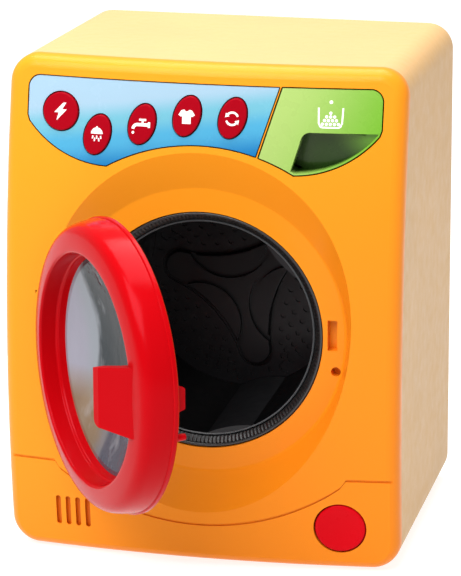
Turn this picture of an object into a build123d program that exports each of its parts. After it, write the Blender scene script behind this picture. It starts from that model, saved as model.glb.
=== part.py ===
from build123d import *
from math import sqrt, sin, cos, radians, degrees
import os

os.makedirs("parts", exist_ok=True)

# ------------------------------------------------------------------
# Driving dimensions, in millimetres. X right, Y towards the back, Z up.
# The base rests on z = 0 and the body's middle is at x = y = 0.
# ------------------------------------------------------------------
W, H, D = 224.0, 282.0, 188.0      # body width, height, depth
Y0 = -D / 2                        # foremost point of the crowned front
RC = 16.4                          # corner radius of the body outline
RF = 8.2                           # rounding round the front
RR = 4.6                           # rounding round the back
RS, ZC = 732.0, 102.7              # crown radius of the front and its height
TX, TZ = 2.8, 4.9                  # taper of each side and of the top
WALL = 2.6                         # wall of the body shell
SKIN = 2.8                         # wall of the front casing
PART = 9.5                         # depth of the front casing's rim

ZD = 132.3                         # height of the drum axis
BASE = 1.6                         # height of the body's underside above the plinth's
R_OPEN = 67.8                      # opening in the front casing
R_FLAT = 81.0                      # flat floor of the dish
Y_FLAT = Y0 + 18.4                 # front of that floor
FLOOR = 3.0                        # its thickness
Y_BACK = Y_FLAT + FLOOR            # back of that floor

HX, HY = -88.7, Y0 + 11.14         # door hinge axis
DOOR_ANGLE = 51.556                # how far the door stands open at rest
DOOR_BACK = Y0 + 17.8              # door's back plane when closed

Y_DISC = Y0 + 112.0                # front of the drum's back disc
R_DRUM_F, R_DRUM_B = 60.9, 59.0    # drum inside radius, front and back
R_SHAFT = 4.0
RUN = 0.05                         # radial running clearance
LIFTERS = (43.2, 163.2, 283.2)     # directions of the drum's lifters

R_PUL, R_MPUL = 36.0, 6.0          # belt grooves of the two pulleys
MX, MZ = 55.3, 66.4                # motor axis
Y_PUL = 134.0                      # front face of both pulleys behind the front
PUL_T = 8.0
BELT_GAP, BELT_T, BELT_W = 0.3, 1.6, 4.0

ARC = 106.3                        # lower edge of panel and drawer front
POWER = (-79.6, 252.3, 10.2)
OVALS = ((-57.9, 241.2), (-32.5, 248.2), (-7.3, 253.8), (18.0, 253.8))
OVAL_A, OVAL_B, OVAL_TILT = 11.05, 7.4, -17.5
FOOT = (79.6, 26.3, 13.85)
PRESS = 1.5                        # travel of the buttons
Y_PAD = Y0 + 28.0                  # front of the keypad's domes

POSTS = ((-100.0, 16.5), (100.0, 16.5), (-100.0, 212.0), (100.0, 212.0))
TUB_EARS = ((-62.0, ZD - 62), (62.0, ZD - 62), (-62.0, ZD + 62), (62.0, ZD + 62))
BOARD_POSTS = ((-94.5, 238.5), (-45.0, 263.0), (28.5, 241.0))
DRAWER_POSTS = ((60.0, 275.2), (85.0, 275.2))
FOOT_POSTS = ((58.5, 26.7), (79.6, 49.5))
SPEAKER = (-73.0, 25.0)
FEET = ((-86.0, Y0 + 42), (86.0, Y0 + 42), (-86.0, Y0 + 164), (86.0, Y0 + 164))

BAT_X, BAT_Z1, BAT_Z2 = 30.0, 6.0, 51.0    # battery opening in the back
CELLS = (13.4, 28.5, 43.6)
TRAY = (46.8, 96.4, 30.0, 112.0, 246.9, 267.2)


def yf(x, z):
    """Depth of the crowned front surface at x, z."""
    return Y0 + RS - sqrt(RS * RS - x * x - (z - ZC) ** 2)


def y_behind(x, z, reach):
    """Depth that just clears the back of the front skin within reach of x, z."""
    far = 1 + reach / sqrt(x * x + (z - ZC) ** 2)
    return yf(x * far, ZC + (z - ZC) * far) + SKIN + 0.15


def fp(y):
    """Sketch plane facing the front at depth y: local x is X, local y is Z."""
    return Plane((0, y, 0), x_dir=(1, 0, 0), z_dir=(0, -1, 0))


def fan(y, angle):
    """Like fp, centred on the drum axis and turned by an angle."""
    a = radians(angle)
    return Plane((0, y, ZD), x_dir=(cos(a), 0, sin(a)), z_dir=(0, -1, 0))


def crown(shift):
    """Centre of the front surface's sphere, moved back by shift."""
    return Locations((0, Y0 + RS + shift, ZC))


def along_y(x, z, y):
    """Place whose own Z axis lies along the Y axis."""
    return Locations(Location((x, y, z), (90, 0, 0)))


def bar(x, z, y1, y2, r, mode=Mode.ADD):
    """Round bar or hole along Y, from y1 to y2, in the current part."""
    with along_y(x, z, (y1 + y2) / 2):
        Cylinder(r, y2 - y1, mode=mode)


def block(x1, x2, y1, y2, z1, z2, mode=Mode.ADD):
    """Rectangular block or pocket between two corners in the current part."""
    with Locations(((x1 + x2) / 2, (y1 + y2) / 2, (z1 + z2) / 2)):
        Box(x2 - x1, y2 - y1, z2 - z1, mode=mode)


def turned(points):
    """(radius, depth behind the front) pairs as sketch points."""
    return [(r, Y0 + y) for r, y in points]


DRUM_PLANE = Plane((0, 0, ZD))
DRUM_AXIS = Axis((0, 0, ZD), (0, 1, 0))

# ------------------------------------------------------------------
# Shapes that several pieces are cut from
# ------------------------------------------------------------------
# body envelope, solid
with BuildPart() as envelope:
    with BuildSketch(fp(Y0 - 3)):
        with Locations((0, (H + 1.5) / 2)):
            RectangleRounded(W + 0.6, H - 1.1, RC)
    with BuildSketch(fp(Y0 + D)):
        with Locations((0, (H - TZ + 1.0) / 2)):
            RectangleRounded(W - 2 * TX, H - TZ - 1.6, RC - 2)
    loft(ruled=True)
    with crown(0):
        Sphere(RS, mode=Mode.INTERSECT)
    fillet(envelope.faces().filter_by(GeomType.SPHERE)[0].edges(), RF)
    fillet(envelope.faces().sort_by(Axis.Y)[-1].edges(), RR)
    block(-W, W, -D, D, -20, BASE, mode=Mode.SUBTRACT)

# its inside
with BuildPart() as inside:
    with BuildSketch(fp(Y0 - 3)):
        with Locations((0, (H + 1.5) / 2)):
            RectangleRounded(W + 0.6 - 2 * WALL, H - 1.1 - 2 * WALL, RC - WALL)
    with BuildSketch(fp(Y0 + D - WALL)):
        with Locations((0, (H - TZ + 1.0) / 2)):
            RectangleRounded(W - 2 * TX - 2 * WALL, H - TZ - 1.6 - 2 * WALL, RC - 2 - WALL)
    loft(ruled=True)
    with crown(SKIN):
        Sphere(RS, mode=Mode.INTERSECT)
    fillet(inside.faces().filter_by(GeomType.SPHERE)[0].edges(), RF - SKIN)

# dish round the door: an ellipse in the crowned front narrowing to a round floor
with BuildPart() as dish:
    with BuildSketch(fp(Y_FLAT)):
        with Locations((0, ZD)):
            Circle(R_FLAT)
    with BuildSketch(fp(Y0 - 2)):
        with Locations((0, 152.3)):
            Ellipse(89.2, 128.0)
    loft(ruled=True)
    fillet(dish.faces().sort_by(Axis.Y)[-1].edges(), 2.0)

with BuildPart() as dish_wall:
    with BuildSketch(fp(Y_BACK)):
        with Locations((0, ZD)):
            Circle(R_FLAT + 2.6)
    with BuildSketch(fp(Y0 - 2)):
        with Locations((0, 152.3)):
            Ellipse(89.2 + 2.6, 128.0 + 2.6)
    loft(ruled=True)
    with crown(0.6):
        Sphere(RS, mode=Mode.INTERSECT)

# cup behind the front that carries the hinge pin
with BuildPart() as hinge_cup:
    block(-97, -75, Y0, Y_BACK, ZD - 27, ZD + 27)
    with crown(1.0):
        Sphere(RS, mode=Mode.INTERSECT)

# slightly recessed lower part of the front, below a curved line
with BuildPart() as kick:
    with BuildSketch(fp(Y0 + 45)):
        with BuildLine():
            Polyline((-140, -20), (-140, 54.6), (-83.0, 54.6), (-79.6, 49.8))
            ThreePointArc((-79.6, 49.8), (0, 23.6), (79.6, 49.8))
            Polyline((79.6, 49.8), (83.0, 54.6), (140, 54.6), (140, -20), (-140, -20))
        make_face()
    extrude(amount=70)
    with crown(0.35):
        Sphere(RS, mode=Mode.SUBTRACT)

# groove along that line
with BuildPart() as kick_groove:
    with BuildSketch(fp(Y0 + 45)):
        with BuildLine():
            Polyline((-140, 54.4), (-140, 55.9), (-83.6, 55.9), (-80.4, 51.2))
            ThreePointArc((-80.4, 51.2), (0, 24.9), (80.4, 51.2))
            Polyline((80.4, 51.2), (83.6, 55.9), (140, 55.9), (140, 54.4), (83.0, 54.4), (79.6, 49.6))
            ThreePointArc((79.6, 49.6), (0, 23.4), (-79.6, 49.6))
            Polyline((-79.6, 49.6), (-83.0, 54.4), (-140, 54.4))
        make_face()
    extrude(amount=70)
    with crown(1.2):
        Sphere(RS, mode=Mode.SUBTRACT)

# outlines of the control panel and of the drawer front
with BuildSketch(fp(Y0 + 60)) as panel_face:
    with BuildLine():
        z_a, z_b = ZD + sqrt(ARC ** 2 - 31.2 ** 2), ZD + sqrt(ARC ** 2 - 52.4 ** 2)
        Line((42.7, 270.6), (31.2, z_a))
        ThreePointArc((31.2, z_a), (-10.6, ZD + sqrt(ARC ** 2 - 10.6 ** 2)), (-52.4, z_b))
        ThreePointArc((-52.4, z_b), (-79.4, 231.6), (-97.7, 246.3))
        Line((-97.7, 246.3), (-98.8, 249.5))
        Line((-98.8, 249.5), (-98.8, 264.0))
        ThreePointArc((-98.8, 264.0), (-96.9, 268.7), (-92.2, 270.6))
        Line((-92.2, 270.6), (42.7, 270.6))
    make_face()

with BuildSketch(fp(Y0 + 60)) as drawer_face:
    with BuildLine():
        z_a = ZD + sqrt(ARC ** 2 - 33.2 ** 2)
        Line((44.7, 270.6), (33.2, z_a))
        ThreePointArc((33.2, z_a), (42.8, ZD + sqrt(ARC ** 2 - 42.8 ** 2)), (52.4, z_b))
        ThreePointArc((52.4, z_b), (79.4, 231.6), (97.7, 246.3))
        Line((97.7, 246.3), (98.8, 249.5))
        Line((98.8, 249.5), (98.8, 264.0))
        ThreePointArc((98.8, 264.0), (96.9, 268.7), (92.2, 270.6))
        Line((92.2, 270.6), (44.7, 270.6))
    make_face()

with BuildSketch(fp(Y0 + 60)) as panel_edge:
    add(panel_face.sketch)
    offset(amount=0.7)

with BuildSketch(fp(Y0 + 39.9)) as drawer_hole:
    with Locations((0, 0)):
        add(drawer_face.sketch.moved(Location((0, -20.1, 0))))
    offset(amount=0.8)

with BuildPart() as panel_seat:
    extrude(panel_edge.sketch, amount=70)
    with crown(1.9):
        Sphere(RS, mode=Mode.SUBTRACT)

# blind sound slots
with BuildPart() as sound_slots:
    with BuildSketch(fp(Y0 + 16)):
        with Locations((-82.0, 24.9), (-76.2, 24.9), (-70.4, 24.9), (-64.6, 24.9)):
            SlotOverall(17.4, 2.9, rotation=90)
    extrude(amount=20)
    with crown(2.4):
        Sphere(RS, mode=Mode.SUBTRACT)

# ------------------------------------------------------------------
# Front casing
# ------------------------------------------------------------------
with BuildPart() as front_casing:
    add(envelope.part)
    with crown(PART - 0.1):
        Sphere(RS, mode=Mode.SUBTRACT)
    add(inside.part, mode=Mode.SUBTRACT)
    add(dish_wall.part)
    add(hinge_cup.part)
    # blind pockets for the door's latch tongue and peg
    block(69.2, 77.2, Y_FLAT + 1, Y0 + 26.2, 123.7, 144.4)
    bar(75.0, 113.6, Y_FLAT + 1, Y0 + 26.2, 4.3)
    # bosses
    for px, pz in POSTS:
        bar(px, pz, yf(px, pz) + 1.6, Y0 + 40.0, 4.2)
    for px, pz in TUB_EARS:
        bar(px, pz, Y0 + 14.5, Y0 + 24.0, 4.2)
    for px, pz in BOARD_POSTS:
        bar(px, pz, yf(px, pz) + 2.0, Y0 + 31.0, 3.0)
    for px, pz in DRAWER_POSTS:
        bar(px, pz, yf(px, pz) + 2.5, Y0 + 42.0, 2.6)
    for px, pz in FOOT_POSTS:
        bar(px, pz, yf(px, pz) + 1.6, Y0 + 34.0, 3.0)
    # ring that seats the loudspeaker
    bar(*SPEAKER, yf(*SPEAKER) + 1.6, Y0 + 16.0, 15.6)
    bar(*SPEAKER, yf(*SPEAKER) + 5.2, Y0 + 17.0, 14.3, mode=Mode.SUBTRACT)
    # dish and main opening
    add(dish.part, mode=Mode.SUBTRACT)
    bar(0, ZD, Y0 + 10, Y0 + 30, R_OPEN, mode=Mode.SUBTRACT)
    add(kick.part, mode=Mode.SUBTRACT)
    add(kick_groove.part, mode=Mode.SUBTRACT)
    # seat of the control panel and way through for the drawer
    add(panel_seat.part, mode=Mode.SUBTRACT)
    extrude(drawer_hole.sketch, amount=50, mode=Mode.SUBTRACT)
    # holes for the buttons
    bar(POWER[0], POWER[1], Y0, Y0 + 26, POWER[2] + 0.7, mode=Mode.SUBTRACT)
    with BuildSketch(fp(Y0 + 26)):
        for cx, cz in OVALS:
            with Locations(Location((cx, cz, 0), (0, 0, OVAL_TILT))):
                Ellipse(OVAL_B + 0.7, OVAL_A + 0.7)
    extrude(amount=30, mode=Mode.SUBTRACT)
    bar(FOOT[0], FOOT[1], Y0, Y0 + 20, FOOT[2] + 0.8, mode=Mode.SUBTRACT)
    add(sound_slots.part, mode=Mode.SUBTRACT)
    # latch slot and peg hole in the dish floor
    block(70.3, 75.7, Y0 + 15, Y0 + 24.8, 125.4, 142.7, mode=Mode.SUBTRACT)
    bar(75.0, 113.6, Y0 + 15, Y0 + 24.8, 2.7, mode=Mode.SUBTRACT)
    # window, pocket and bore of the hinge
    block(-88.9, -76, Y0 - 5, Y0 + 18.9, ZD - 20.7, ZD + 20.7, mode=Mode.SUBTRACT)
    block(-92.6, -76, HY - 3.65, Y0 + 18.9, ZD - 20.7, ZD + 20.7, mode=Mode.SUBTRACT)
    with Locations((HX, HY, ZD)):
        Cylinder(1.5, 52.0, mode=Mode.SUBTRACT)
    # pilot holes
    for px, pz in POSTS:
        bar(px, pz, Y0 + 24, Y0 + 41, 1.3, mode=Mode.SUBTRACT)
    for px, pz in TUB_EARS:
        bar(px, pz, Y0 + 19.5, Y0 + 25, 1.0, mode=Mode.SUBTRACT)
    for px, pz in BOARD_POSTS:
        bar(px, pz, Y0 + 25.5, Y0 + 32, 1.0, mode=Mode.SUBTRACT)
    for px, pz in DRAWER_POSTS:
        bar(px, pz, Y0 + 34, Y0 + 43, 1.0, mode=Mode.SUBTRACT)
    for px, pz in FOOT_POSTS:
        bar(px, pz, Y0 + 24, Y0 + 35, 1.0, mode=Mode.SUBTRACT)
front_casing.part.label = "front_casing"
export_step(front_casing.part, "parts/front_casing.step")

# ------------------------------------------------------------------
# Rear shell: sides, top, base and back in one
# ------------------------------------------------------------------
with BuildPart() as rear_shell:
    add(envelope.part)
    with crown(PART + 0.1):
        Sphere(RS, mode=Mode.INTERSECT)
    add(inside.part, mode=Mode.SUBTRACT)
    for px, pz in POSTS:
        bar(px, pz, Y0 + 40.2, Y0 + D - 2, 5.2)
    # battery opening with a ledge for the cover
    block(-BAT_X - 3, BAT_X + 3, Y0 + D - 5, Y0 + D - 2, BAT_Z1 - 3, BAT_Z2 + 3)
    block(-BAT_X + 1.5, BAT_X - 1.5, Y0 + D - 8, Y0 + D + 5, BAT_Z1 + 1.5, BAT_Z2 - 1.5, mode=Mode.SUBTRACT)
    block(-BAT_X, BAT_X, Y0 + D - 2.4, Y0 + D + 5, BAT_Z1, BAT_Z2, mode=Mode.SUBTRACT)
    bar(0, BAT_Z2 + 0.2, Y0 + D - 2.4, Y0 + D + 5, 4.6, mode=Mode.SUBTRACT)
    bar(0, BAT_Z2 + 0.8, Y0 + D - 9, Y0 + D - 2.4, 2.9)
    bar(0, BAT_Z2 + 0.8, Y0 + D - 8, Y0 + D - 2, 1.0, mode=Mode.SUBTRACT)
    # plinth that the body stands on
    with BuildSketch(Plane.XY):
        with Locations((0, Y0 + 99.0)):
            RectangleRounded(196.0, 150.0, 12.0)
    extrude(amount=BASE + 0.4)
    # screw shafts and foot recesses
    for px, pz in POSTS:
        bar(px, pz, Y0 + 40, Y0 + D + 5, 1.7, mode=Mode.SUBTRACT)
        bar(px, pz, Y0 + 46, Y0 + D + 5, 3.5, mode=Mode.SUBTRACT)
    with Locations(*[(fx, fy, 0) for fx, fy in FEET]):
        Cylinder(7.0, 2.6, mode=Mode.SUBTRACT)
rear_shell.part.label = "rear_shell"
export_step(rear_shell.part, "parts/rear_shell.step")

with BuildPart() as rubber_feet:
    with Locations(*[(fx, fy, 0.65) for fx, fy in FEET]):
        Cylinder(6.95, 1.3)
rubber_feet.part.label = "rubber_feet"
export_step(rubber_feet.part, "parts/rubber_feet.step")

with BuildPart() as case_screws:
    for px, pz in POSTS:
        bar(px, pz, Y0 + 46.0, Y0 + 48.2, 3.0)
        bar(px, pz, Y0 + 27.0, Y0 + 46.0, 1.25)
        block(px - 1.8, px + 1.8, Y0 + 47.4, Y0 + 49, pz - 0.4, pz + 0.4, mode=Mode.SUBTRACT)
        block(px - 0.4, px + 0.4, Y0 + 47.4, Y0 + 49, pz - 1.8, pz + 1.8, mode=Mode.SUBTRACT)
case_screws.part.label = "case_screws"
export_step(case_screws.part, "parts/case_screws.step")

# ------------------------------------------------------------------
# Battery box, cells, contacts and cover
# ------------------------------------------------------------------
YB = Y0 + 171.5
with BuildPart() as battery_box:
    block(-32.0, 32.0, Y0 + 161.5, Y0 + D - 5.05, 4.1, 53.8)
    block(-30.4, 30.4, Y0 + 163.3, Y0 + D, 5.7, 52.0, mode=Mode.SUBTRACT)
    for cz in (20.95, 36.05):
        block(-30.4, 30.4, Y0 + 163.3, Y0 + 167.0, cz - 0.3, cz + 0.3)
    bar(0, BAT_Z2 + 0.8, Y0 + D - 10, Y0 + D - 2, 3.2, mode=Mode.SUBTRACT)
battery_box.part.label = "battery_box"
export_step(battery_box.part, "parts/battery_box.step")

with BuildPart() as battery_cells:
    for i, cz in enumerate(CELLS):
        s = 1 if i % 2 == 0 else -1
        with Locations(Location((0, YB, cz), (0, 90, 0))):
            Cylinder(7.1, 48.5)
        with Locations(Location((s * 24.85, YB, cz), (0, 90, 0))):
            Cylinder(2.7, 1.3)
battery_cells.part.label = "battery_cells"
export_step(battery_cells.part, "parts/battery_cells.step")

with BuildPart() as battery_contacts:
    for i, cz in enumerate(CELLS):
        s = 1 if i % 2 == 0 else -1
        for side in (-1, 1):
            block(side * 30.1 - 0.3, side * 30.1 + 0.3, YB - 5, YB + 5, cz - 5, cz + 5)
        # plain stud against the cell's tip, conical spring against its base
        with Locations(Location((s * 27.7, YB, cz), (0, 90, 0))):
            Cylinder(2.0, 4.4)
        with Locations(Location((-s * 27.1, YB, cz), (0, -s * 90, 0))):
            Cone(2.2, 4.2, 5.5)
battery_contacts.part.label = "battery_contacts"
export_step(battery_contacts.part, "parts/battery_contacts.step")

with BuildPart() as battery_cover:
    block(-BAT_X + 0.3, BAT_X - 0.3, Y0 + D - 2.35, Y0 + D - 0.1, BAT_Z1 + 0.3, BAT_Z2 - 0.3)
    bar(0, BAT_Z2 + 0.2, Y0 + D - 2.35, Y0 + D - 0.1, 4.3)
    with Locations(*[(0, Y0 + D - 0.1, gz) for gz in (14, 18, 22, 26, 30)]):
        Box(24, 1.2, 1.2, mode=Mode.SUBTRACT)
    bar(0, BAT_Z2 + 0.8, Y0 + D - 3, Y0 + D + 1, 1.3, mode=Mode.SUBTRACT)
    bar(0, BAT_Z2 + 0.8, Y0 + D - 1.4, Y0 + D + 1, 2.6, mode=Mode.SUBTRACT)
battery_cover.part.label = "battery_cover"
export_step(battery_cover.part, "parts/battery_cover.step")

with BuildPart() as battery_screw:
    bar(0, BAT_Z2 + 0.8, Y0 + D - 1.4, Y0 + D - 0.2, 2.4)
    bar(0, BAT_Z2 + 0.8, Y0 + D - 7.5, Y0 + D - 1.4, 0.95)
    block(-1.6, 1.6, Y0 + D - 0.8, Y0 + D, BAT_Z2 + 0.5, BAT_Z2 + 1.1, mode=Mode.SUBTRACT)
    block(-0.3, 0.3, Y0 + D - 0.8, Y0 + D, BAT_Z2 - 0.8, BAT_Z2 + 2.4, mode=Mode.SUBTRACT)
battery_screw.part.label = "battery_screw"
export_step(battery_screw.part, "parts/battery_screw.step")

# ------------------------------------------------------------------
# Control panel, its buttons, keypad and board
# ------------------------------------------------------------------
with BuildPart() as control_panel:
    extrude(panel_face.sketch, amount=70)
    with crown(0.2):
        Sphere(RS, mode=Mode.INTERSECT)
    with crown(1.9):
        Sphere(RS, mode=Mode.SUBTRACT)
    bar(POWER[0], POWER[1], Y0, Y0 + 40, POWER[2] + 0.7, mode=Mode.SUBTRACT)
    with BuildSketch(fp(Y0 + 25)):
        for cx, cz in OVALS:
            with Locations(Location((cx, cz, 0), (0, 0, OVAL_TILT))):
                Ellipse(OVAL_B + 0.7, OVAL_A + 0.7)
    extrude(amount=30, mode=Mode.SUBTRACT)
control_panel.part.label = "control_panel"
export_step(control_panel.part, "parts/control_panel.step")

yg = y_behind(POWER[0], POWER[1], POWER[2] + 1.8)
with BuildPart() as power_button:
    bar(POWER[0], POWER[1], Y0 - 5, yg, POWER[2])
    with crown(-1.1):
        Sphere(RS, mode=Mode.INTERSECT)
    fillet(power_button.faces().filter_by(GeomType.SPHERE)[0].edges(), 0.8)
    bar(POWER[0], POWER[1], yg, yg + 1.4, POWER[2] + 1.8)
    bar(POWER[0], POWER[1], yg + 1.4, Y_PAD, 3.0)
power_button.part.label = "power_button"
export_step(power_button.part, "parts/power_button.step")

for number, (cx, cz) in enumerate(OVALS, 1):
    yg = y_behind(cx, cz, OVAL_A + 1.6)
    with BuildPart() as program_button:
        with BuildSketch(fp(yg)):
            with Locations(Location((cx, cz, 0), (0, 0, OVAL_TILT))):
                Ellipse(OVAL_B, OVAL_A)
        extrude(amount=25)
        with crown(-1.1):
            Sphere(RS, mode=Mode.INTERSECT)
        fillet(program_button.faces().filter_by(GeomType.SPHERE)[0].edges(), 0.8)
        with BuildSketch(fp(yg + 1.4)):
            with Locations(Location((cx, cz, 0), (0, 0, OVAL_TILT))):
                Ellipse(OVAL_B + 1.6, OVAL_A + 1.6)
        extrude(amount=1.4)
        bar(cx, cz, yg + 1.4, Y_PAD, 3.0)
    program_button.part.label = f"program_button_{number}"
    export_step(program_button.part, f"parts/program_button_{number}.step")

with BuildPart() as keypad:
    block(-91.0, 25.5, Y_PAD + 1.7, Y0 + 31.0, 236.5, 262.0)
    bar(-45.0, 263.0, Y0 + 20, Y0 + 40, 3.6, mode=Mode.SUBTRACT)
    for cx, cz in ((POWER[0], POWER[1]),) + OVALS:
        with along_y(cx, cz, Y_PAD + 0.9):
            Cone(4.6, 3.2, 1.8)
keypad.part.label = "keypad"
export_step(keypad.part, "parts/keypad.step")

with BuildPart() as control_board:
    block(-98.5, 32.5, Y0 + 31.0, Y0 + 32.6, 235.0, 267.0)
    for px, pz in BOARD_POSTS:
        bar(px, pz, Y0 + 30, Y0 + 34, 1.25, mode=Mode.SUBTRACT)
    block(-64, -50, Y0 + 32.6, Y0 + 35.0, 244, 252)
    block(-20, -12, Y0 + 32.6, Y0 + 36.5, 240, 246)
    bar(5, 258, Y0 + 32.6, Y0 + 43.0, 3.0)
    bar(14, 258, Y0 + 32.6, Y0 + 43.0, 3.0)
control_board.part.label = "control_board"
export_step(control_board.part, "parts/control_board.step")

with BuildPart() as board_screws:
    for px, pz in BOARD_POSTS:
        bar(px, pz, Y0 + 32.6, Y0 + 34.0, 2.2)
        bar(px, pz, Y0 + 27.0, Y0 + 32.6, 0.95)
board_screws.part.label = "board_screws"
export_step(board_screws.part, "parts/board_screws.step")

# ------------------------------------------------------------------
# Foot button with spring and switch
# ------------------------------------------------------------------
yg = y_behind(FOOT[0], FOOT[1], FOOT[2] + 1.8)
R_THUMB = 68.0                     # radius of the button's hollowed face
out = (RS + R_THUMB - 1.1) / RS
THUMB = (FOOT[0] * out, Y0 + RS + 0.3 + (yf(*FOOT[:2]) - Y0 - RS) * out, ZC + (FOOT[1] - ZC) * out)
with BuildPart() as foot_button:
    bar(FOOT[0], FOOT[1], Y0 - 5, yg, FOOT[2])
    with crown(0.3):
        Sphere(RS, mode=Mode.INTERSECT)
    fillet(foot_button.faces().filter_by(GeomType.SPHERE)[0].edges(), 1.0)
    with Locations(THUMB):
        Sphere(R_THUMB, mode=Mode.SUBTRACT)
    bar(FOOT[0], FOOT[1], yg, yg + 1.4, FOOT[2] + 1.8)
    bar(FOOT[0], FOOT[1], yg + 1.4, Y0 + 30.1, 3.4)
foot_button.part.label = "foot_button"
export_step(foot_button.part, "parts/foot_button.step")

SPR_1, SPR_2 = yg + 1.4 + 0.5, Y0 + 33.5
with BuildPart() as foot_spring:
    with BuildLine() as coil:
        Helix(pitch=(SPR_2 - SPR_1) / 5, height=SPR_2 - SPR_1, radius=6.0,
              center=(FOOT[0], SPR_1, FOOT[1]), direction=(0, 1, 0))
    with BuildSketch(Plane(origin=coil.line @ 0, z_dir=coil.line % 0)):
        Circle(0.5)
    sweep()
foot_spring.part.label = "foot_spring"
export_step(foot_spring.part, "parts/foot_spring.step")

with BuildPart() as foot_switch:
    with BuildSketch(fp(Y0 + 36.0)):
        with BuildLine():
            Polyline((53.5, 19.0), (90.0, 19.0), (90.0, 36.0), (85.0, 54.0),
                     (74.0, 54.0), (53.5, 33.0), close=True)
        make_face()
    extrude(amount=2.0)
    bar(FOOT[0], FOOT[1], Y0 + 31.8, Y0 + 34.0, 2.6)
    for px, pz in FOOT_POSTS:
        bar(px, pz, Y0 + 33, Y0 + 38, 1.25, mode=Mode.SUBTRACT)
foot_switch.part.label = "foot_switch"
export_step(foot_switch.part, "parts/foot_switch.step")

with BuildPart() as switch_screws:
    for px, pz in FOOT_POSTS:
        bar(px, pz, Y0 + 36.0, Y0 + 37.4, 2.2)
        bar(px, pz, Y0 + 27.0, Y0 + 36.0, 0.95)
switch_screws.part.label = "switch_screws"
export_step(switch_screws.part, "parts/switch_screws.step")

# ------------------------------------------------------------------
# Loudspeaker behind the sound slots
# ------------------------------------------------------------------
with BuildPart() as speaker_frame:
    bar(*SPEAKER, Y0 + 14.5, Y0 + 16.0, 14.2)
    bar(*SPEAKER, Y0 + 16.0, Y0 + 17.2, 15.4)
    bar(*SPEAKER, Y0 + 17.2, Y0 + 22.0, 12.2)
    bar(*SPEAKER, Y0 + 13.0, Y0 + 21.0, 11.2, mode=Mode.SUBTRACT)
    bar(*SPEAKER, Y0 + 20.0, Y0 + 23.0, 5.0, mode=Mode.SUBTRACT)
speaker_frame.part.label = "speaker_frame"
export_step(speaker_frame.part, "parts/speaker_frame.step")

with BuildPart() as speaker_cone:
    with BuildSketch(Plane((SPEAKER[0], 0, SPEAKER[1]))):
        with BuildLine():
            Polyline(*turned([(0, 18.5), (4.0, 18.5), (11.2, 15.2), (11.2, 14.6), (3.8, 17.8), (0, 17.8)]), close=True)
        make_face()
    revolve(axis=Axis((SPEAKER[0], 0, SPEAKER[1]), (0, 1, 0)))
speaker_cone.part.label = "speaker_cone"
export_step(speaker_cone.part, "parts/speaker_cone.step")

with BuildPart() as speaker_magnet:
    bar(*SPEAKER, Y0 + 22.0, Y0 + 27.0, 8.5)
    bar(*SPEAKER, Y0 + 18.5, Y0 + 22.0, 3.6)
speaker_magnet.part.label = "speaker_magnet"
export_step(speaker_magnet.part, "parts/speaker_magnet.step")

# ------------------------------------------------------------------
# Mouth ring, tub and drum
# ------------------------------------------------------------------
with BuildPart() as mouth_ring:
    with BuildSketch(DRUM_PLANE):
        with BuildLine():
            Polyline(*turned([(65.6, 19.6), (66.1, 19.0), (66.8, 19.0), (67.4, 19.8), (67.4, 21.45), (69.0, 21.45),
                              (69.0, 24.05), (64.6, 24.05), (64.6, 25.6), (62.4, 25.6), (62.4, 23.4),
                              (65.6, 20.6)]), close=True)
        make_face()
    revolve(axis=DRUM_AXIS)
mouth_ring.part.label = "mouth_ring"
export_step(mouth_ring.part, "parts/mouth_ring.step")

with BuildPart() as tub:
    # four ears that screw to the front casing
    for ex, ez in TUB_EARS:
        sx, sz = (1 if ex > 0 else -1), (1 if ez > ZD else -1)
        with BuildSketch(fp(Y0 + 26.6)):
            with BuildLine():
                Polyline((sx * 41.0, ZD + sz * 54.0), (sx * 58.7, ZD + sz * 65.3), (sx * 65.3, ZD + sz * 58.7),
                         (sx * 54.0, ZD + sz * 41.0), close=True)
            make_face()
        extrude(amount=2.5)
        bar(ex, ez, Y0 + 24.1, Y0 + 26.6, 4.6)
    # motor plate
    with BuildSketch(fp(Y0 + 127.0)):
        with BuildLine():
            Polyline((26.0, 88.0), (43.0, 51.5), (68.0, 51.5), (70.0, 62.0), (58.0, 100.0), close=True)
        make_face()
    extrude(amount=3.0)
    bar(0, ZD, Y0 + 24.1, Y0 + 127.0, 68.4)
    bar(0, ZD, Y0 + 20.0, Y0 + 124.0, 66.8, mode=Mode.SUBTRACT)
    # bearing seat
    bar(0, ZD, Y0 + 120.5, Y0 + 131.0, 10.0)
    bar(0, ZD, Y0 + 120.0, Y0 + 132.0, 7.0, mode=Mode.SUBTRACT)
    # holes for the motor's collar and all screws
    bar(MX, MZ, Y0 + 120, Y0 + 130, 3.1, mode=Mode.SUBTRACT)
    for dx in (-8.5, 8.5):
        bar(MX + dx, MZ, Y0 + 120, Y0 + 130, 1.3, mode=Mode.SUBTRACT)
    for px, pz in TUB_EARS:
        bar(px, pz, Y0 + 22, Y0 + 28, 1.25, mode=Mode.SUBTRACT)
tub.part.label = "tub"
export_step(tub.part, "parts/tub.step")

with BuildPart() as tub_screws:
    for px, pz in TUB_EARS:
        bar(px, pz, Y0 + 26.6, Y0 + 28.2, 2.4)
        bar(px, pz, Y0 + 20.5, Y0 + 26.6, 0.95)
tub_screws.part.label = "tub_screws"
export_step(tub_screws.part, "parts/tub_screws.step")

with BuildPart() as shaft_bush:
    bar(0, ZD, Y0 + 120.5, Y0 + 132.0, 7.0)
    bar(0, ZD, Y0 + 119.3, Y0 + 120.5, 9.0)
    bar(0, ZD, Y0 + 118.0, Y0 + 133.0, R_SHAFT + RUN, mode=Mode.SUBTRACT)
shaft_bush.part.label = "shaft_bush"
export_step(shaft_bush.part, "parts/shaft_bush.step")

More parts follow.
